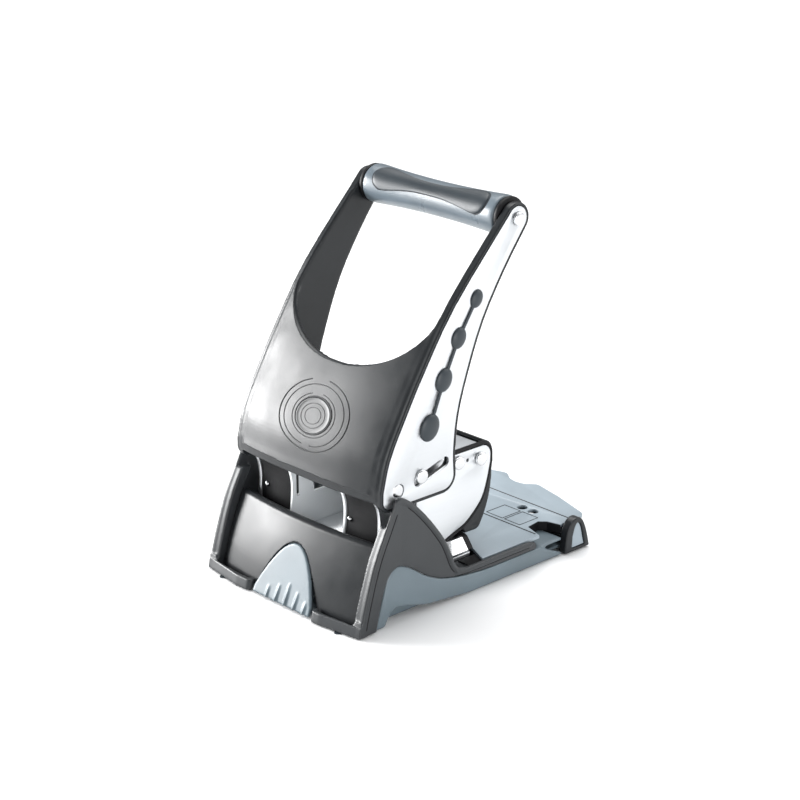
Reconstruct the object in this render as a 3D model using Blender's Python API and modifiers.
"""Two-hole desk punch with a tall swing-over lever, a compound rocker and a paper table.

All dimensions are millimetres in the assembly frame and become metres when a mesh is made.
Assembly frame: X across the punch, Y from the front panel to the paper table, Z up, with
Y = 0 at the front foot and Z = 0 at the surface that the punch stands on.  The top empty
moves the assembly so that the world origin is under the middle of its bounding box.
"""

import math
from functools import partial

import bmesh
import bpy
from mathutils import Matrix, Vector

MM = 0.001

# ---- driving dimensions -------------------------------------------------------------
FRONT_Y = -5.2            # furthest forward point of the front ledges
REAR_Y = 223.6            # furthest back point of the paper table
CENTRE_Y = (FRONT_Y + REAR_Y) / 2.0
GAP = 0.35                # gap kept between pieces that touch

LEVER_PIVOT = (37.4, 86.0)        # (y, z) of the lever's axle
ROCKER_PIVOT = (118.5, 83.0)      # (y, z) of the rocker's axle
DRIVE_PIN = (56.3, 90.8)          # (y, z) of the cross pin that the slotted lever drives
GRIP_AXIS = (137.6, 238.2)        # (y, z) of the grip rod
TRAY_PIVOT = (123.0, 8.0)         # (y, z) of the chip tray's hinge

PUNCH_X = 40.0                    # half the 80 mm hole spacing
PUNCH_Y = 97.5
PUNCH_RADIUS = 3.0
PUNCH_TIP_Z = 28.3
PUNCH_HEAD_Z = 75.2               # top of the punch head, just under the press bar

LEVER_HALF = 68.9                 # outer face of the lever cover
LEVER_INNER = 63.0                # inner face of its side arms
SKIN = 3.0                        # thickness of the lever's front wall
CROWN = 4.5                       # how far that wall bulges forward at its middle
PLATE_IN, PLATE_OUT = 66.9, 68.6  # steel side plate of the lever
RIM = 2.0                         # plastic rim around that plate

FRAME_IN, FRAME_OUT = 55.5, 58.0  # steel side plate of the frame
FRAME_TOP = 91.0
SHEET = 2.2                       # thickness of the frame's top sheet

WALL_IN, WALL_OUT = 71.0, 73.8    # side walls of the base
BASE_BOTTOM = 0.8
DECK_LOW, DECK_HIGH = 14.5, 17.3
TABLE_LOW, TABLE_HIGH = 17.65, 19.8
TABLE_HALF = 69.4
TABLE_REAR_HALF = 66.7            # the table is narrower beside the paper guide
THROAT_TOP = 32.0
TONGUE_X = 2.5                    # middle of the tray's tongue
WEB_SETBACK = 0.9                 # how far the black webs stand behind the steel cheeks' edges
EMBLEM_RADIUS = 15.4
EMBLEM_FLAT = 0.79                # height of the oval medallion over its width

ARC_STEPS = 6


# ---- outline helpers ------------------------------------------------------------------
def arc(centre, radius, start, end, steps=ARC_STEPS):
    """Points on a circle from the start angle to the end angle, in degrees."""
    points = []
    for i in range(steps + 1):
        a = math.radians(start + (end - start) * i / steps)
        points.append((centre[0] + radius * math.cos(a), centre[1] + radius * math.sin(a)))
    return points


def circle(centre, radius, steps=20):
    return arc(centre, radius, 0.0, 360.0 * (steps - 1) / steps, steps - 1)


def smooth(points, steps=3):
    """A Catmull-Rom curve through the points."""
    pts = [Vector(p) for p in points]
    pts = [2 * pts[0] - pts[1]] + pts + [2 * pts[-1] - pts[-2]]
    curve = []
    for i in range(1, len(pts) - 2):
        a, b, c, d = pts[i - 1:i + 3]
        for k in range(steps):
            t = k / steps
            q = 0.5 * (2 * b + (c - a) * t + (2 * a - 5 * b + 4 * c - d) * t * t
                       + (3 * b - a - 3 * c + d) * t * t * t)
            curve.append(tuple(q))
    curve.append(tuple(pts[-2]))
    return curve


def rounded(corners, radius, steps=4):
    """A polygon whose corners are cut by arcs; a corner may carry its own radius."""
    outline = []
    count = len(corners)
    for i, corner in enumerate(corners):
        here = Vector(corner[:2])
        r = corner[2] if len(corner) > 2 else radius
        to_prev = (Vector(corners[i - 1][:2]) - here).normalized()
        to_next = (Vector(corners[(i + 1) % count][:2]) - here).normalized()
        if r <= 0.0:
            outline.append(tuple(here))
            continue
        half = to_prev.angle(to_next) / 2.0
        middle = here + (to_prev + to_next).normalized() * (r / math.sin(half))
        first = here + to_prev * (r / math.tan(half)) - middle
        last = here + to_next * (r / math.tan(half)) - middle
        turn = first.angle_signed(last)
        for k in range(steps + 1):
            a = -turn * k / steps
            c, s = math.cos(a), math.sin(a)
            outline.append((middle.x + first.x * c - first.y * s,
                            middle.y + first.x * s + first.y * c))
    return outline


def box_outline(u0, u1, v0, v1, radius=0.0):
    return rounded([(u0, v0), (u1, v0), (u1, v1), (u0, v1)], radius)


def shifted(points, du, dv=0.0):
    return [(u + du, v + dv) for u, v in points]


def mirrored(points):
    return [(-u, v) for u, v in reversed(points)]


def band(points, thickness):
    """A closed strip that follows an open path, to the left of its direction."""
    left = []
    for i, point in enumerate(points):
        before = Vector(points[max(i - 1, 0)])
        after = Vector(points[min(i + 1, len(points) - 1)])
        along = (after - before).normalized()
        left.append((point[0] - along.y * thickness, point[1] + along.x * thickness))
    return points + left[::-1]


def inset(points, distance):
    """A closed counter-clockwise outline moved inwards."""
    moved = []
    count = len(points)
    for i, point in enumerate(points):
        along = (Vector(points[(i + 1) % count]) - Vector(points[i - 1])).normalized()
        moved.append((point[0] - along.y * distance, point[1] + along.x * distance))
    return moved


# ---- solid helpers ----------------------------------------------------------------------
def new_object(name, mesh):
    obj = bpy.data.objects.new(name, mesh)
    bpy.context.scene.collection.objects.link(obj)
    return obj


def bake(obj):
    """Replace an object's curve or modifiers by the mesh they evaluate to."""
    bpy.context.view_layer.update()
    evaluated = obj.evaluated_get(bpy.context.evaluated_depsgraph_get())
    mesh = bpy.data.meshes.new_from_object(evaluated)
    work = bmesh.new()
    work.from_mesh(mesh)
    bmesh.ops.remove_doubles(work, verts=work.verts, dist=0.000002)
    bmesh.ops.recalc_face_normals(work, faces=work.faces)
    work.to_mesh(mesh)
    work.free()
    baked = new_object(obj.name, mesh)
    baked.matrix_world = obj.matrix_world
    name = obj.name
    bpy.data.objects.remove(obj)
    baked.name = name
    return baked


AXIS_TURN = {"X": (math.pi / 2, 0.0, math.pi / 2), "Y": (math.pi / 2, 0.0, 0.0), "Z": (0.0, 0.0, 0.0)}
AXIS_WAY = {"X": Vector((1, 0, 0)), "Y": Vector((0, 1, 0)), "Z": Vector((0, 0, 1))}


def prism(name, axis, low, high, *loops):
    """Outlines extruded along an axis.  Outlines are (y, z) for X, (x, z) for Y, (x, y) for Z."""
    curve = bpy.data.curves.new(name, "CURVE")
    curve.dimensions = "2D"
    curve.fill_mode = "BOTH"
    curve.extrude = (high - low) * MM / 2.0
    for loop in loops:
        spline = curve.splines.new("POLY")
        spline.points.add(len(loop) - 1)
        for point, (u, v) in zip(spline.points, loop):
            point.co = (u * MM, v * MM, 0.0, 1.0)
        spline.use_cyclic_u = True
    obj = new_object(name, curve)
    obj.rotation_euler = AXIS_TURN[axis]
    obj.location = AXIS_WAY[axis] * ((low + high) * MM / 2.0)
    return bake(obj)


def box(name, x0, x1, y0, y1, z0, z1):
    bpy.ops.mesh.primitive_cube_add(size=1.0)
    obj = bpy.context.object
    obj.name = name
    size = Vector((x1 - x0, y1 - y0, z1 - z0)) * MM
    obj.data.transform(Matrix.Diagonal((*size, 1.0)))
    obj.location = Vector((x0 + x1, y0 + y1, z0 + z1)) * (MM / 2.0)
    return obj


def rod(name, axis, centre, radius, low, high, segments=20):
    """A cylinder along an axis; centre is given as for prism outlines."""
    bpy.ops.mesh.primitive_cylinder_add(vertices=segments, radius=radius * MM, depth=(high - low) * MM)
    obj = bpy.context.object
    obj.name = name
    obj.rotation_euler = AXIS_TURN[axis]
    middle = (low + high) / 2.0
    place = {"X": (middle, *centre), "Y": (centre[0], middle, centre[1]), "Z": (*centre, middle)}[axis]
    obj.location = Vector(place) * MM
    return obj


def combine(target, tools, operation="DIFFERENCE"):
    """Cut the tools from the target, or join them to it, and use them up."""
    for tool in tools:
        change = target.modifiers.new(operation.title(), "BOOLEAN")
        change.operation = operation
        change.object = tool
        change.solver = "EXACT"
        target = bake(target)
        bpy.data.objects.remove(tool)
    return target


def bevel(obj, width, segments=2):
    edge = obj.modifiers.new("Rounded edges", "BEVEL")
    edge.width = width * MM
    edge.segments = segments
    edge.limit_method = "ANGLE"
    edge.angle_limit = math.radians(40.0)
    return bake(obj)


def turned(name, axis, centre, profile, steps=20):
    """A profile of (radius, height) pairs turned about an axis with a Screw modifier."""
    mesh = bpy.data.meshes.new(name)
    verts = [(radius * MM, 0.0, height * MM) for radius, height in profile]
    edges = [(i, (i + 1) % len(verts)) for i in range(len(verts))]
    mesh.from_pydata(verts, edges, [])
    obj = new_object(name, mesh)
    screw = obj.modifiers.new("Turn", "SCREW")
    screw.axis = "Z"
    screw.steps = steps
    screw.render_steps = steps
    screw.use_merge_vertices = True
    screw.merge_threshold = 0.00001
    obj.rotation_euler = AXIS_TURN[axis]
    place = {"X": (0.0, *centre), "Y": (centre[0], 0.0, centre[1]), "Z": (*centre, 0.0)}[axis]
    obj.location = Vector(place) * MM
    return bake(obj)


def facing(profile, sign):
    """A turned profile made for +X, turned round for the -X side when sign is -1."""
    return profile if sign > 0 else [(r, -x) for r, x in reversed(profile)]


# ---- outlines that several pieces share ----------------------------------------------------
LEVER_FRONT = smooth([(22.7, 88.0), (28.4, 108.5), (41.7, 133.0), (57.5, 159.0), (82.8, 195.0),
                      (128.3, 243.2)])
LEVER_REAR = smooth([(86.6, 85.0), (86.0, 100.0), (88.7, 122.8), (96.5, 148.0), (109.3, 178.8),
                     (127.4, 207.7), (146.0, 232.2)])


def lever_outline():
    """Side view of the lever, counter-clockwise from the middle of its bottom edge."""
    return (arc((75.6, 85.0), 11.0, -90.0, -10.0)
            + LEVER_REAR
            + arc((137.4, 238.0), 10.4, -25.0, 145.0, 12)
            + LEVER_FRONT[::-1]
            + arc((30.5, 82.0), 8.0, 190.0, 270.0, 6))


SLOT_START, SLOT_END = Vector((54.0, 88.06)), Vector((76.5, 94.81))


def slot_outline(radius):
    """The lever's straight drive slot with round ends."""
    along = SLOT_END - SLOT_START
    tilt = math.degrees(math.atan2(along.y, along.x))
    return (arc(SLOT_END, radius, tilt - 90.0, tilt + 90.0, 8)
            + arc(SLOT_START, radius, tilt + 90.0, tilt + 270.0, 8))


def front_y(z):
    """Y of the lever's front curve at a height."""
    for (y0, z0), (y1, z1) in zip(LEVER_FRONT, LEVER_FRONT[1:]):
        if z0 <= z <= z1:
            return y0 + (y1 - y0) * (z - z0) / (z1 - z0)
    return LEVER_FRONT[0][0] if z < LEVER_FRONT[0][1] else LEVER_FRONT[-1][0]


SKIRT_LINE = smooth([(14.6, BASE_BOTTOM), (16.4, 8.6), (19.6, 21.0), (24.4, 33.0), (31.5, 38.4),
                     (38.0, 37.8), (46.6, 33.1), (56.0, 26.4), (68.6, 20.2), (82.8, 16.6),
                     (101.0, 14.2), (118.0, 13.3), (157.0, 13.3)], 2)
RIM_FRONT = smooth([(0.2, BASE_BOTTOM), (5.9, 22.4), (14.1, 46.7), (23.8, 66.0), (30.0, 78.4)], 4)
HUMP_REAR = smooth([(38.7, 82.3), (44.0, 78.6), (51.3, 71.9), (61.3, 60.7), (72.1, 46.3),
                    (77.4, 36.2), (81.2, 27.4), (85.2, 22.4), (91.5, 20.2)], 3)


def shell_side():
    return (RIM_FRONT + arc((35.2, 78.4), 5.2, 170.0, 55.0, 6) + HUMP_REAR
            + [(150.0, 19.9), (155.5, 18.6), (157.3, 15.6)] + SKIRT_LINE[::-1])


def skirt_side():
    top = [(y + (0.5 if y < 24 else 0.0), z - GAP) for y, z in SKIRT_LINE if z > 2.0]
    return ([(15.4, BASE_BOTTOM)] + top
            + [(160.5, 13.0), (183.5, 2.2), (183.5, BASE_BOTTOM), (96.0, BASE_BOTTOM),
               (80.0, 2.4), (58.2, 4.9), (38.5, 11.0), (31.0, 12.2), (27.0, 9.2), (24.8, 4.8),
               (23.4, BASE_BOTTOM)])


SCALLOP_X = -3.5                  # middle of the scallop in the table's back edge


def table_edge(side):
    """The table's back edge in plan, from one corner to the scallop, for side 1 or -1."""
    corner = rounded([(TABLE_REAR_HALF, 180.0, 0.0), (TABLE_REAR_HALF, 209.8, 4.0),
                      (35.4, 218.8, 0.0)], 0.0)
    scallop = smooth([(22.0, 222.3), (15.5, REAR_Y), (12.0, 222.2), (7.0, 218.8), (0.0, 217.4)], 3)
    edge = corner[1:] + [(x + side * SCALLOP_X, y) for x, y in scallop]
    return edge if side > 0 else mirrored(edge)


# ---- the base --------------------------------------------------------------------------------
def base_shell():
    """Dark upper shell: side humps and rails, front posts, front ledges and the inner deck."""
    parts = []
    front = [(y + 0.3, z) for y, z in RIM_FRONT if z < 66.5]
    front[0] = (front[0][0], BASE_BOTTOM + 0.15)
    post = front + shifted(front, 8.4)[::-1]
    for sign in (-1, 1):
        low, high = sorted((sign * WALL_IN, sign * WALL_OUT))
        parts.append(prism("wall", "X", low, high, shell_side()))
        low, high = sorted((sign * 66.0, sign * (WALL_IN + 0.5)))
        parts.append(prism("post", "X", low, high, post))
        end = 29.5 + sign * TONGUE_X
        ledge = rounded([(end, FRONT_Y + 0.2, 3.0), (40.0, FRONT_Y, 0.0), (73.6, -0.4, 0.0),
                         (73.6, 7.0, 0.0), (67.5, 7.0, 0.0), (67.5, 0.7, 0.0), (end, 0.7, 1.5)], 0.0)
        pocket = [(end + 3.2, -2.1), (42.0, -2.4), (65.0, -0.2), (65.0, 3.1), (end + 3.2, 3.1)]
        if sign < 0:
            ledge, pocket = mirrored(ledge), mirrored(pocket)
        ledge = prism("ledge", "Z", BASE_BOTTOM - 0.1, 10.0, ledge)
        parts.append(combine(ledge, [prism("pocket", "Z", 4.0, 14.0, pocket)]))
    half_deck = [(30.0, 15.5), (30.0, 13.2), (67.0, 13.2), (67.2, 16.0), (70.2, 19.0),
                 (70.2, 97.0), (WALL_IN + 0.4, 98.0), (WALL_IN + 0.4, 111.5)]
    deck = prism("base_shell", "Z", DECK_LOW, DECK_HIGH, half_deck + mirrored(half_deck),
                 circle((-PUNCH_X, PUNCH_Y), 6.5), circle((PUNCH_X, PUNCH_Y), 6.5))
    return combine(deck, parts, "UNION")


def crowned_wall(name, half, path, bulge, thickness):
    """A sheet across the punch that follows a (y, z) path; bulge gives its Y offset at each X."""
    columns = 12
    work = bmesh.new()
    rows = []
    for y, z in path:
        stations = [half * (-1.0 + 2.0 * i / columns) for i in range(columns + 1)]
        rows.append([work.verts.new((x * MM, (y + bulge(x)) * MM, z * MM)) for x in stations])
    for lower, upper in zip(rows, rows[1:]):
        for i in range(columns):
            work.faces.new((lower[i], lower[i + 1], upper[i + 1], upper[i]))
    mesh = bpy.data.meshes.new(name)
    work.to_mesh(mesh)
    work.free()
    wall = new_object(name, mesh)
    solid = wall.modifiers.new("Wall", "SOLIDIFY")
    solid.thickness = thickness * MM
    solid.offset = -1.0
    return bake(wall)


def front_panel():
    """Sloping front plate, set back at its sides, with the opening for the tray's tongue."""
    half, setback = 65.5, 5.0
    path = smooth([(0.8, 3.0), (5.8, 20.0), (12.0, 37.0), (18.2, 50.8)], 3) + [(20.6, 52.4), (23.2, 52.0)]
    panel = crowned_wall("front_panel", half, path, lambda x: setback * (x / half) ** 2, 2.6)
    return combine(panel, [prism("scoop", "Y", -8.0, 24.0, tongue_outline(28.0, 38.6))])


def tongue_outline(half, top):
    """Parabola in front view, open towards the floor."""
    steps = 16
    curve = []
    for i in range(steps + 1):
        x = half * (1.0 - 2.0 * i / steps)
        curve.append((TONGUE_X + x, top - (x / half) ** 2 * (top - 6.0)))
    return curve + [(TONGUE_X - half - 0.4, -4.0), (TONGUE_X + half + 0.4, -4.0)]


def base_skirt():
    """Blue-grey lower housing: side skirts, cross members and the walls under the paper table."""
    parts = []
    for sign in (-1, 1):
        low, high = sorted((sign * (WALL_IN - 0.4), sign * (WALL_OUT - 0.5)))
        parts.append(prism("side", "X", low, high, skirt_side()))
    edge = table_edge(1)[2:] + table_edge(-1)[1:-2]
    wall = [(u, v - 1.0) for u, v in edge] + [(u * 0.97, v - 3.4) for u, v in edge[::-1]]
    parts.append(prism("back", "Z", BASE_BOTTOM, DECK_HIGH, wall))
    parts.append(box("flank", -66.0, -63.6, 150.0, 209.0, BASE_BOTTOM, DECK_HIGH))
    parts.append(box("cross", -70.7, 70.7, 131.0, 133.6, BASE_BOTTOM, DECK_HIGH))
    parts.append(box("mid_rib", -71.2, 71.2, 157.0, 159.2, 3.0, 12.8))
    parts.append(box("pocket_floor", 48.0, 71.2, 158.5, 183.2, 11.0, 13.0))
    for low, high in ((-1.2, 1.2), (30.0, 32.0), (-32.0, -30.0)):
        parts.append(box("rib", low, high, 132.0, 188.0, 3.0, DECK_HIGH))
    floor = prism("base_skirt", "Z", 2.6, 5.0,
                  box_outline(-65.8, 65.8, 131.5, 212.0, 2.0))
    return combine(floor, parts, "UNION")


def paper_table():
    """Flat sheet support, raised a little at the back, with a side pocket and two sighting holes."""
    front = [(50.0, 112.6), (50.0, 118.6), (63.8, 112.4), (TABLE_HALF, 110.0)]
    pocket = [(TABLE_HALF, 163.4), (54.1, 168.5), (52.3, 180.0), (56.8, 184.4), (66.2, 186.8)]
    outline = (front + pocket + table_edge(1) + table_edge(-1)[1:]
               + [(-TABLE_REAR_HALF, 186.0), (-TABLE_HALF, 182.0)] + mirrored(front))
    table = prism("paper_table", "Z", TABLE_LOW, TABLE_HIGH, outline,
                  circle((28.7, 190.0), 3.8, 16), circle((38.6, 190.0), 3.8, 16))
    fold_y, slope = 199.0, 0.09
    work = bmesh.new()
    work.from_mesh(table.data)
    geometry = work.verts[:] + work.edges[:] + work.faces[:]
    turn = table.matrix_world.inverted()
    bmesh.ops.bisect_plane(work, geom=geometry, plane_co=turn @ Vector((0.0, fold_y * MM, 0.0)),
                           plane_no=(0.0, 1.0, 0.0))
    for vert in work.verts:
        vert.co.z += slope * max(0.0, vert.co.y - fold_y * MM)
    work.to_mesh(table.data)
    work.free()
    return table


def chip_tray():
    """Pan under the dies, with the ribbed tongue that fills the front opening."""
    hinge_y, hinge_z = TRAY_PIVOT
    pan = box("chip_tray", -64.0, 64.0, 16.0, 127.0, 1.4, 13.4)
    pan = combine(pan, [box("inside", -62.0, 62.0, 18.0, 125.0, 3.2, 20.0)])
    slope = smooth([(-3.2, 1.4), (2.2, 14.0), (8.0, 28.0), (12.6, 39.0)], 3)
    half = 27.0
    tongue = prism("tongue", "X", TONGUE_X - half - 0.2, TONGUE_X + half + 0.2,
                   slope + shifted(slope, 2.2)[::-1])
    tongue = combine(tongue, [prism("shape", "Y", -9.0, 30.0, tongue_outline(half, 37.8))],
                     "INTERSECT")
    parts = [tongue, box("sill", TONGUE_X - 26.0, TONGUE_X + 26.0, -1.6, 16.6, 1.4, 3.6)]
    for i, height in enumerate((7.0, 10.0, 13.0, 10.0, 7.0)):
        x = TONGUE_X + 4.0 + (i - 2) * 8.8
        top, back = 1.6 + height, -3.0 + height * 0.42
        parts.append(prism("rib", "X", x - 0.7, x + 0.7,
                           [(-4.8, 1.5), (-1.0, 1.5), (back + 1.2, top), (back - 0.3, top)]))
    pan = combine(pan, parts, "UNION")
    bores = [rod("bore", "X", (hinge_y, hinge_z), 1.9, low, high, 12)
             for low, high in ((-66.0, -61.0), (61.0, 66.0))]
    return combine(pan, bores)


def tray_pin(sign):
    """Stub pin with a shoulder that one side of the tray swings on."""
    profile = [(0.0, 70.2), (3.2, 70.2), (3.2, 64.4), (1.5, 64.4), (1.5, 62.4), (0.0, 62.4)]
    return turned("tray_pin", "X", TRAY_PIVOT, facing(profile, sign))


def rubber_foot(x, y):
    radius, top = (2.4, BASE_BOTTOM - 0.3) if y < 0 else (5.0, 2.2)
    return rod("foot", "Z", (x, y), radius, 0.0, top, 16)


def base_screw(x, y):
    """Cross-head screw in the underside of the housing."""
    screw = rod("screw", "Z", (x, y), 3.0, 0.9, 2.3, 12)
    return combine(screw, [box("slot", x - 2.0, x + 2.0, y - 0.4, y + 0.4, 0.5, 1.5),
                           box("slot", x - 0.4, x + 0.4, y - 2.0, y + 2.0, 0.5, 1.5)])


# ---- the frame, dies and guides ------------------------------------------------------------------
FRAME_REAR = smooth([(88.5, 36.5), (96.0, 39.2), (104.9, 42.3), (113.8, 48.9), (120.4, 56.2),
                     (124.4, 66.5), (127.4, 78.5)], 3)
CHEEK_FRONT = smooth([(28.0, 78.5), (31.2, 70.0), (32.0, 60.0), (30.6, 45.0), (28.6, 34.0)], 3)


def frame_bridge():
    """Bent steel frame: two side plates joined by a top sheet behind the lever."""
    pin_y, pin_z = DRIVE_PIN
    notch = [(pin_y - 4.6, FRAME_TOP)] + arc((pin_y + 0.9, 63.0), 5.6, 180.0, 360.0) \
        + [(pin_y + 5.9, FRAME_TOP)]
    side = (CHEEK_FRONT + [(28.6, DECK_HIGH + GAP), (83.0, DECK_HIGH + GAP), (83.0, 34.0)]
            + FRAME_REAR + arc((120.4, 83.8), 7.2, -5.0, 90.0, 6) + notch[::-1]
            + [(45.6, 92.0)] + arc(LEVER_PIVOT, 9.2, 40.0, 165.0))
    holes = [circle(LEVER_PIVOT, 4.8), circle(ROCKER_PIVOT, 3.8, 20),
             circle((107.1, 84.6), 1.3, 12), circle((98.6, 85.2), 3.3, 16)]
    sides = [prism("side", "X", *sorted((sign * FRAME_IN, sign * FRAME_OUT)), side, *holes)
             for sign in (-1, 1)]
    top = band([(95.0, FRAME_TOP - SHEET), (120.4, FRAME_TOP - SHEET)]
               + arc((120.4, 83.8), 5.0, 80.0, 20.0, 4), SHEET)
    sheet = prism("frame_bridge", "X", -FRAME_OUT + 0.4, FRAME_OUT - 0.4, top)
    return combine(sheet, sides, "UNION")


def rear_cover():
    """Plastic cover that wraps the back of the frame, with cheeks inside the frame's side plates."""
    back = smooth([(122.4, 33.6), (127.6, 43.1), (132.0, 56.6), (133.7, 72.2), (133.5, 82.8)], 3)
    path = [(109.0, 32.6), (119.5, 32.2)] + back + arc((126.2, 84.6), 7.2, 0.0, 78.0, 5)
    cover = prism("rear_cover", "X", -54.2, 54.2, band(path, 2.6))
    rim = [(y - 2.4, z - 0.4) for y, z in FRAME_REAR if y > 103.0]
    cheek = [(108.0, 35.2)] + [(y - 0.4, z) for y, z in back if z > 34.0 and z < 79.0] + rim[::-1]
    cheeks = [prism("cheek", "X", *sorted((sign * 52.0, sign * 54.0)), cheek) for sign in (-1, 1)]
    return combine(cover, cheeks, "UNION")


def bracket(sign):
    """Steel inner cheek beside the front window, with a slit that ends in a round eye."""
    low, high = sorted((sign * 24.2, sign * 26.2))
    cheek = (CHEEK_FRONT + [(28.6, DECK_HIGH + GAP), (83.0, DECK_HIGH + GAP), (83.0, 55.6),
                            (50.0, 55.6), (50.0, 60.0), (42.0, 78.5)])
    return prism("bracket", "X", low, high, cheek)


def bracket_web(sign):
    """Black curved web between the inner cheek and the frame's side plate."""
    low, high = sorted((sign * (26.2 + GAP), sign * (FRAME_IN - GAP)))
    path = shifted([point for point in CHEEK_FRONT if point[1] < 76.0], WEB_SETBACK)
    path.append((path[-1][0], DECK_HIGH + GAP))
    return prism("bracket_web", "X", low, high, band(path, 1.6))


def bracket_rivet(x):
    """Domed head on the front of a web."""
    profile = [(0.0, 31.2), (1.3, 31.5), (1.8, 32.2), (1.8, 32.5), (0.0, 32.5)]
    return turned("rivet", "Y", (x, 57.5), [(r, -y) for r, y in profile[::-1]], 12)


def guide_block(sign):
    """Steel block with the bore that keeps a punch pin upright."""
    x = sign * PUNCH_X
    return prism("guide_block", "Z", THROAT_TOP + 3.4, 44.0,
                 box_outline(x - 10.0, x + 10.0, 90.0, 105.0, 2.0), circle((x, PUNCH_Y), 3.4, 20))


THROAT_SIDE = [(56.6, 34.6), (59.0, 33.8), (64.6, 26.6)]


def stripper_plate():
    """Bright sheet above the paper slot: its ends slope down and a shelf reaches forwards."""
    profile = mirrored(THROAT_SIDE) + THROAT_SIDE
    sheet = prism("stripper_plate", "Y", 88.0, 102.0, band(profile, -1.8))
    sheet = combine(sheet, [box("shelf", -23.8, 23.8, 50.0, 89.0, 32.9, 34.5)], "UNION")
    bores = [rod("bore", "Z", (x, PUNCH_Y), 3.4, 20.0, 40.0) for x in (-PUNCH_X, PUNCH_X)]
    return combine(sheet, bores)


def throat_lip():
    """Black strip along the back edge of the stripper plate."""
    profile = mirrored(THROAT_SIDE) + THROAT_SIDE
    return prism("throat_lip", "Y", 102.35, 106.6, band(profile, -2.6))


def die_plate():
    """Steel strip on the deck that carries the two dies."""
    return prism("die_plate", "Z", TABLE_LOW, 20.0, box_outline(-57.0, 57.0, 86.4, 112.0, 1.5),
                 circle((-PUNCH_X, PUNCH_Y), 6.3, 20), circle((PUNCH_X, PUNCH_Y), 6.3, 20))


def die(sign):
    return prism("die", "Z", 14.6, 20.1, circle((sign * PUNCH_X, PUNCH_Y), 6.0, 20),
                 circle((sign * PUNCH_X, PUNCH_Y), 3.25, 20))


def paper_stop():
    """Fence that the edge of the sheets meets, 12 mm in front of the hole centres."""
    return box("paper_stop", -55.0, 55.0, PUNCH_Y - 13.6, PUNCH_Y - 12.0, DECK_HIGH + GAP, 28.0)


def lever_axle():
    return rod("lever_axle", "X", LEVER_PIVOT, 4.45, -68.4, 68.4, 20)


def headed_pin(name, centre, stations):
    """A pin along X, the same at both ends; stations are (radius, x) from the middle outwards."""
    end = stations[-1][1]
    profile = [(0.0, end)] + stations[::-1] + [(r, -x) for r, x in stations] + [(0.0, -end)]
    return turned(name, "X", centre, profile)


def rocker_axle():
    return headed_pin("rocker_axle", ROCKER_PIVOT,
                      [(3.5, FRAME_OUT + GAP), (4.4, FRAME_OUT + GAP), (4.4, 59.7), (3.4, 60.3)])


def frame_rivet(sign):
    profile = [(0.0, 60.2), (3.3, 60.2), (4.3, 59.6), (4.3, 58.35), (3.0, 58.35), (3.0, 54.4),
               (0.0, 54.4)]
    return turned("rivet", "X", (98.6, 85.2), facing(profile, sign))


# ---- the rocker and the punches -----------------------------------------------------------------
def rocker_arm(sign):
    """Side arm of the rocker: pivot boss, press-bar seat and drive-pin eye."""
    low, high = sorted((sign * 48.6, sign * 51.6))
    upper = smooth([(116.5, 87.6), (98.0, 86.4), (76.0, 93.0), (57.0, 96.8)], 3)
    lower = smooth([(55.8, 84.8), (74.0, 80.2), (90.0, 73.4), (102.0, 73.0), (116.5, 78.0)], 3)
    outline = (upper + arc(DRIVE_PIN, 6.0, 95.0, 265.0) + lower[1:]
               + arc(ROCKER_PIVOT, 5.4, -100.0, 100.0))
    return prism("rocker_arm", "X", low, high, outline, circle(ROCKER_PIVOT, 3.85, 20),
                 circle(DRIVE_PIN, 3.5, 16), circle((97.5, 79.4), 4.35, 16))


def press_bar():
    return rod("press_bar", "X", (97.5, 79.4), 4.0, -53.0, 53.0, 20)


def drive_pin():
    """Cross pin: thick between the arms, thin through the slots, with round heads outside."""
    return headed_pin("drive_pin", DRIVE_PIN,
                      [(3.15, 62.4), (1.35, 62.4), (1.35, 68.95), (4.5, 68.95), (4.5, 70.0), (3.7, 70.5)])


def punch_pin(sign):
    """Hardened pin with a flat head; its tip is hollow-ground to a V."""
    x = sign * PUNCH_X
    head = PUNCH_HEAD_Z
    pin = turned("punch_pin", "Z", (x, PUNCH_Y),
                 [(0.0, head), (4.4, head), (5.0, head - 0.6), (5.0, head - 3.0), (3.0, head - 3.0),
                  (PUNCH_RADIUS, PUNCH_TIP_Z), (0.0, PUNCH_TIP_Z)])
    notch = prism("notch", "Y", PUNCH_Y - 5.0, PUNCH_Y + 5.0,
                  [(x - 2.6, PUNCH_TIP_Z - 0.2), (x + 2.6, PUNCH_TIP_Z - 0.2), (x, PUNCH_TIP_Z + 1.0)])
    return combine(pin, [notch])


def return_spring(sign):
    """Compression spring between the guide block and the punch head."""
    low, high = 44.0 + 0.9, PUNCH_HEAD_Z - 3.0 - 0.9
    turns, steps, radius, wire = 5, 8, 4.7, 0.6
    curve = bpy.data.curves.new("return_spring", "CURVE")
    curve.dimensions = "3D"
    curve.bevel_depth = wire * MM
    curve.bevel_resolution = 0
    curve.use_fill_caps = True
    spline = curve.splines.new("POLY")
    spline.points.add(turns * steps)
    for i, point in enumerate(spline.points):
        a = 2.0 * math.pi * i / steps
        z = low + (high - low) * i / (turns * steps)
        point.co = (radius * math.cos(a) * MM, radius * math.sin(a) * MM, z * MM, 1.0)
    obj = new_object("return_spring", curve)
    obj.location = (sign * PUNCH_X * MM, PUNCH_Y * MM, 0.0)
    return bake(obj)


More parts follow.
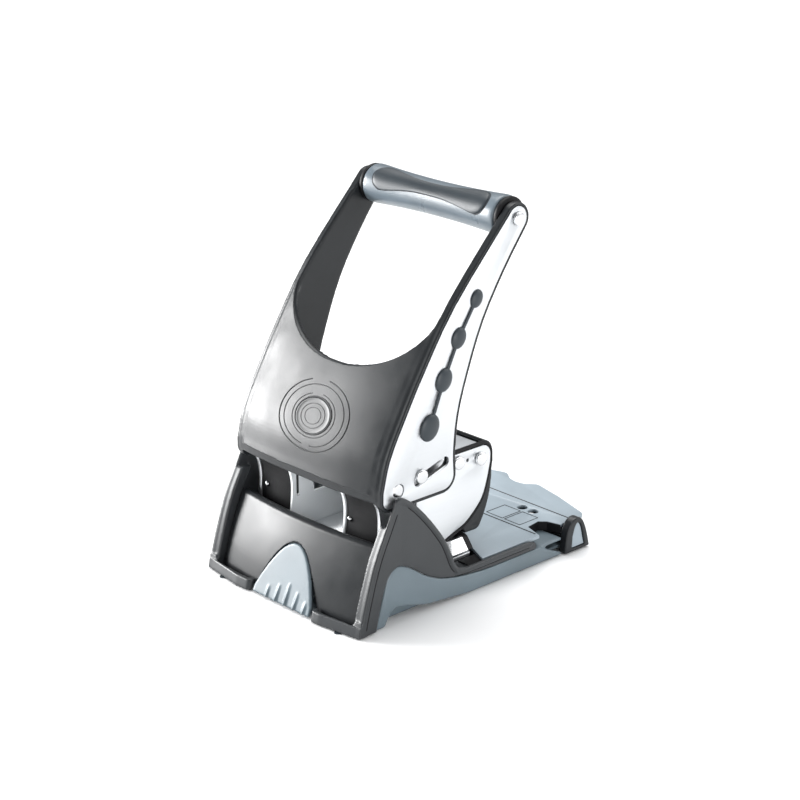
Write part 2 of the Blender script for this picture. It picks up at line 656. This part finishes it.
# ---- the lever -----------------------------------------------------------------------------------
def front_skin():
    """Crowned front wall between the lever's arms, curled in at its lower edge."""
    heights = [80.2, 84.0, 90.0, 98.0, 108.0, 120.0, 132.0, 144.0, 156.0, 168.0, 182.0, 200.0, 220.0, 236.0]
    path = [(front_y(z) + (0.5 if z < 84.0 else 0.0), z) for z in heights]
    return crowned_wall("lever_cover", LEVER_INNER + 1.8, path,
                        lambda x: -CROWN * (1.0 - abs(x / LEVER_HALF) ** 3), SKIN)


def opening_outline():
    """The hand opening in front view: an ellipse below, straight sides above."""
    steps = 20
    half = LEVER_INNER + 1.0
    base = [(half * math.cos(math.pi + math.pi * i / steps),
             188.0 + 38.0 * math.sin(math.pi + math.pi * i / steps)) for i in range(steps + 1)]
    return base + [(half, 262.0), (-half, 262.0)]


def emblem_frame():
    """Centre and tilt of the medallion on the crowned front wall."""
    z = 118.8
    slope = (front_y(z + 6.0) - front_y(z - 6.0)) / 12.0
    return Vector((0.0, front_y(z) - CROWN, z)), math.atan(slope)


def emblem_disc(name, radius, behind, proud):
    centre, tilt = emblem_frame()
    bpy.ops.mesh.primitive_cylinder_add(vertices=32, radius=radius * MM, depth=(behind + proud) * MM)
    obj = bpy.context.object
    obj.name = name
    obj.data.transform(Matrix.Diagonal((1.0, EMBLEM_FLAT, 1.0, 1.0)))
    obj.rotation_euler = (math.pi / 2 - tilt, 0.0, 0.0)
    outward = Vector((0.0, -math.cos(tilt), math.sin(tilt)))
    obj.location = (centre + outward * ((proud - behind) / 2.0)) * MM
    return obj


def lever_arm(sign):
    """Side arm of the cover, with its eyes and slot and the recess for the steel plate."""
    outline = lever_outline()
    arm = prism("arm", "X", *sorted((sign * LEVER_INNER, sign * LEVER_HALF)), outline,
                circle(LEVER_PIVOT, 4.8), slot_outline(4.2), circle(GRIP_AXIS, 4.4, 20))
    recess = prism("recess", "X", *sorted((sign * (PLATE_IN - GAP), sign * 72.0)),
                   inset(outline, RIM))
    return combine(arm, [recess])


def lever_cover():
    """Dark plastic body of the lever: crowned wall with the hand opening, and two side arms."""
    wall = combine(front_skin(), [prism("opening", "Y", 10.0, 170.0, opening_outline()),
                                  emblem_disc("recess", EMBLEM_RADIUS + 0.5, 1.0, 4.0)])
    return combine(wall, [lever_arm(1), lever_arm(-1)], "UNION")


def emblem_badge():
    """Plain oval medallion set in the front wall."""
    return bevel(emblem_disc("emblem_badge", EMBLEM_RADIUS, 0.6, 0.6), 0.3, 1)


def lever_plate(sign):
    """Steel side plate of the lever with its axle eye, drive slot and grip-rod eye."""
    low, high = sorted((sign * PLATE_IN, sign * PLATE_OUT))
    return prism("lever_plate", "X", low, high, inset(lever_outline(), RIM + 0.45),
                 circle(LEVER_PIVOT, 4.8), slot_outline(3.5), circle(GRIP_AXIS, 4.4, 20))


BEADS = (((102.1, 194.5), 5.0, 6.0), ((87.1, 172.6), 6.0, 7.0), ((74.8, 148.5), 6.8, 7.8),
         ((63.1, 120.6), 7.8, 8.9))


def bead_inlay(sign):
    """Chain of four rubber beads on narrow links, lying on the lever's side plate."""
    base = PLATE_OUT + GAP
    parts = []
    for (y, z), across, along in BEADS:
        bpy.ops.mesh.primitive_uv_sphere_add(segments=14, ring_count=8, radius=1.0)
        bead = bpy.context.object
        work = bmesh.new()
        work.from_mesh(bead.data)
        cut = bmesh.ops.bisect_plane(work, geom=work.verts[:] + work.edges[:] + work.faces[:],
                                     plane_co=(0, 0, 0), plane_no=(-sign, 0, 0), clear_outer=True)
        bmesh.ops.contextual_create(work, geom=[e for e in cut["geom_cut"]
                                                if isinstance(e, bmesh.types.BMEdge)])
        work.to_mesh(bead.data)
        work.free()
        bead.data.transform(Matrix.Diagonal((2.3 * MM, across * MM, along * MM, 1.0)))
        bead.rotation_euler = (-math.radians(27.0), 0.0, 0.0)
        bead.location = Vector((sign * base, y, z)) * MM
        parts.append(bead)
    for (first, _, _), (second, _, _) in zip(BEADS, BEADS[1:]):
        link = band([first, second], 2.4)
        parts.append(prism("link", "X", *sorted((sign * base, sign * (base + 0.7))),
                           shifted(link, -0.9, 0.6)))
    return combine(parts[0], parts[1:], "UNION")


def grip_rod():
    return headed_pin("grip_rod", GRIP_AXIS, [(4.0, 69.0), (4.3, 69.4), (4.3, 70.2), (3.6, 70.7)])


def grip_radius(x):
    """The sleeve is waisted: thinner at its middle than at its ends."""
    return 11.2 + 2.0 * (x / 59.0) ** 2


def grip_sleeve():
    stations = [(grip_radius(x), x) for x in (55.0, 44.0, 33.0, 22.0, 11.0, 0.0, -11.0, -22.0,
                                             -33.0, -44.0, -55.0)]
    ends = [(11.6, 59.0), (12.7, 58.0)]
    profile = ([(4.4, 59.0)] + ends + stations + [(r, -x) for r, x in reversed(ends)]
               + [(4.4, -59.0)])
    return turned("grip_sleeve", "X", GRIP_AXIS, profile)


def inlay_outline():
    """Dog-bone outline of the grip's soft inlay, in (x, across) with the rod at zero."""
    half = smooth([(0.0, 4.2), (14.0, 4.6), (28.0, 6.4), (40.0, 8.6)], 3)
    end = arc((42.0, 0.0), 8.9, 80.0, -80.0, 8)
    right = half[:-1] + end + [(x, -y) for x, y in half[-2:0:-1]]
    return right + [(-x, y) for x, y in right[::-1]][1:-1]


def grip_inlay():
    """Soft rubber pad that lies on the front and top of the sleeve."""
    stations = [(grip_radius(x) + GAP, x) for x in (52.0, 39.0, 26.0, 13.0, 0.0, -13.0, -26.0, -39.0, -52.0)]
    profile = [(r + 0.9, x) for r, x in stations] + stations[::-1]
    pad = turned("grip_inlay", "X", GRIP_AXIS, profile)
    shape = prism("shape", "Z", 0.0, 30.0, inlay_outline())
    lean = math.radians(48.0)
    y, z = GRIP_AXIS
    shape.rotation_euler = (lean, 0.0, 0.0)
    shape.location = Vector((0.0, y - 15.0 * math.sin(lean), z + 15.0 * math.cos(lean))) * MM
    return combine(pad, [shape], "INTERSECT")


def grip_collar(sign):
    """Black spacer ring with rounded edges between the sleeve and the arm."""
    low, high, radius = 59.4, LEVER_INNER - GAP, 12.6
    profile = [(4.4, high), (radius - 0.9, high), (radius, high - 0.9), (radius, low + 0.9),
               (radius - 0.9, low), (4.4, low)]
    return turned("grip_collar", "X", GRIP_AXIS, facing(profile, sign))


# ---- the paper guide ---------------------------------------------------------------------------------
GUIDE_ARCH = ([(184.6, 1.0)] + smooth([(184.8, 9.0), (186.4, 16.8), (190.2, 22.4), (195.4, 24.4),
                                       (200.0, 22.6), (203.6, 16.6), (206.2, 9.0), (208.2, 1.0)], 3))
GUIDE_WINDOW = ([(191.0, 3.0)] + smooth([(191.6, 12.0), (194.0, 18.6), (197.2, 20.8), (200.4, 16.0),
                                         (203.6, 3.0)], 3))


def paper_guide():
    """Sliding bar with its arched end stop."""
    arch = prism("paper_guide", "X", 67.6, WALL_OUT, GUIDE_ARCH, GUIDE_WINDOW)
    bar = box("bar", -62.0, 70.0, 190.0, 203.0, 6.4, 9.4)
    stop = prism("tip", "Z", 6.4, 11.4, box_outline(-62.0, -56.0, 190.0, 203.0, 1.5))
    return combine(bevel(arch, 0.4, 1), [bar, stop], "UNION")


def guide_insert():
    """Grey finger plate inside the guide's arch."""
    return prism("guide_insert", "X", 70.4, WALL_OUT - 0.9, inset(GUIDE_WINDOW[::-1], GAP))


# ---- assembly ----------------------------------------------------------------------------------------
CHARCOAL = ((0.035, 0.037, 0.041), 0.38, 0.0)
BLACK = ((0.012, 0.012, 0.013), 0.5, 0.0)
BLUE_GREY = ((0.17, 0.21, 0.25), 0.42, 0.0)
RUBBER = ((0.05, 0.055, 0.062), 0.6, 0.0)
STEEL = ((0.62, 0.63, 0.65), 0.28, 1.0)
BRIGHT = ((0.75, 0.75, 0.76), 0.18, 1.0)

FEET = ((-56.0, -1.6), (56.0, -1.6), (-52.0, 205.0), (52.0, 205.0))
SCREWS = ((-45.0, 145.0), (45.0, 145.0), (-45.0, 176.0), (45.0, 176.0))

# body -> list of (node name, maker, finish)
ASSEMBLY = {
    "root": [
        ("base_shell", base_shell, CHARCOAL), ("front_panel", front_panel, CHARCOAL),
        ("base_skirt", base_skirt, BLUE_GREY), ("paper_table", paper_table, BLUE_GREY),
        ("frame_bridge", frame_bridge, STEEL), ("rear_cover", rear_cover, CHARCOAL),
        ("stripper_plate", stripper_plate, BRIGHT), ("die_plate", die_plate, STEEL),
        ("throat_lip", throat_lip, BLACK), ("paper_stop", paper_stop, BLACK),
        ("lever_axle", lever_axle, BRIGHT), ("rocker_axle", rocker_axle, BRIGHT),
    ],
    "lever": [
        ("lever_cover", lever_cover, CHARCOAL), ("emblem_badge", emblem_badge, CHARCOAL),
        ("grip_rod", grip_rod, BRIGHT), ("grip_sleeve", grip_sleeve, BLUE_GREY),
        ("grip_inlay", grip_inlay, RUBBER),
    ],
    "rocker": [("press_bar", press_bar, STEEL), ("drive_pin", drive_pin, BRIGHT)],
    "punch_right": [],
    "punch_left": [],
    "guide": [("paper_guide", paper_guide, CHARCOAL), ("guide_insert", guide_insert, BLUE_GREY)],
    "tray": [("chip_tray", chip_tray, BLUE_GREY)],
}

# pieces that come as a right and left pair: (body, name, maker of one side, finish)
PAIRS = (
    ("root", "tray_pin", tray_pin, BLACK), ("root", "bracket", bracket, STEEL),
    ("root", "bracket_web", bracket_web, BLACK),
    ("root", "guide_block", guide_block, STEEL), ("root", "die", die, BRIGHT),
    ("root", "frame_rivet", frame_rivet, BRIGHT), ("root", "return_spring", return_spring, BRIGHT),
    ("lever", "lever_plate", lever_plate, STEEL), ("lever", "bead_inlay", bead_inlay, RUBBER),
    ("lever", "grip_collar", grip_collar, BLACK), ("rocker", "rocker_arm", rocker_arm, STEEL),
)
RIVETS = (("right", 29.5), ("left", -50.5))
for side, x in RIVETS:
    ASSEMBLY["root"].append(("bracket_rivet_" + side, partial(bracket_rivet, x), BRIGHT))
for body, name, make, finish in PAIRS:
    for side, sign in (("right", 1), ("left", -1)):
        ASSEMBLY[body].append((f"{name}_{side}", partial(make, sign), finish))
for side, sign in (("right", 1), ("left", -1)):
    ASSEMBLY["punch_" + side].append(("punch_pin_" + side, partial(punch_pin, sign), BRIGHT))
for i, place in enumerate(FEET):
    ASSEMBLY["root"].append((f"rubber_foot_{i + 1}", partial(rubber_foot, *place), RUBBER))
for i, place in enumerate(SCREWS):
    ASSEMBLY["root"].append((f"base_screw_{i + 1}", partial(base_screw, *place), STEEL))

# body -> point on its joint, in the assembly frame
JOINT_POINTS = {
    "root": (0.0, 0.0, 0.0),
    "lever": (0.0, *LEVER_PIVOT),
    "rocker": (0.0, *ROCKER_PIVOT),
    "punch_right": (PUNCH_X, PUNCH_Y, PUNCH_HEAD_Z),
    "punch_left": (-PUNCH_X, PUNCH_Y, PUNCH_HEAD_Z),
    "guide": (WALL_OUT, 196.5, 7.9),
    "tray": (0.0, *TRAY_PIVOT),
}


def finish_material(obj, colour, roughness, metallic):
    material = bpy.data.materials.new(obj.name)
    material.use_nodes = True
    shader = material.node_tree.nodes["Principled BSDF"]
    shader.inputs["Base Color"].default_value = (*colour, 1.0)
    shader.inputs["Roughness"].default_value = roughness
    shader.inputs["Metallic"].default_value = metallic
    obj.data.materials.clear()
    obj.data.materials.append(material)


def empty(name, parent, place):
    obj = bpy.data.objects.new(name, None)
    obj.empty_display_size = 0.02
    obj.location = Vector(place) * MM
    obj.parent = parent
    return obj


def build():
    for obj in list(bpy.data.objects):
        bpy.data.objects.remove(obj)
    group = bpy.data.collections.new("hole_punch")
    bpy.context.scene.collection.children.link(group)
    top = empty("hole_punch_origin", None, (0.0, -CENTRE_Y, 0.0))
    group.objects.link(top)
    for body, pieces in ASSEMBLY.items():
        joint = empty(body + "_joint", top, JOINT_POINTS[body])
        group.objects.link(joint)
        for name, make, finish in pieces:
            obj = make()
            obj.name = name
            obj.data.name = name
            finish_material(obj, *finish)
            obj.data.shade_smooth()
            obj.data.set_sharp_from_angle(angle=math.radians(35.0))
            for holder in list(obj.users_collection):
                holder.objects.unlink(obj)
            group.objects.link(obj)
            obj.parent = joint
            obj.location -= joint.location


build()
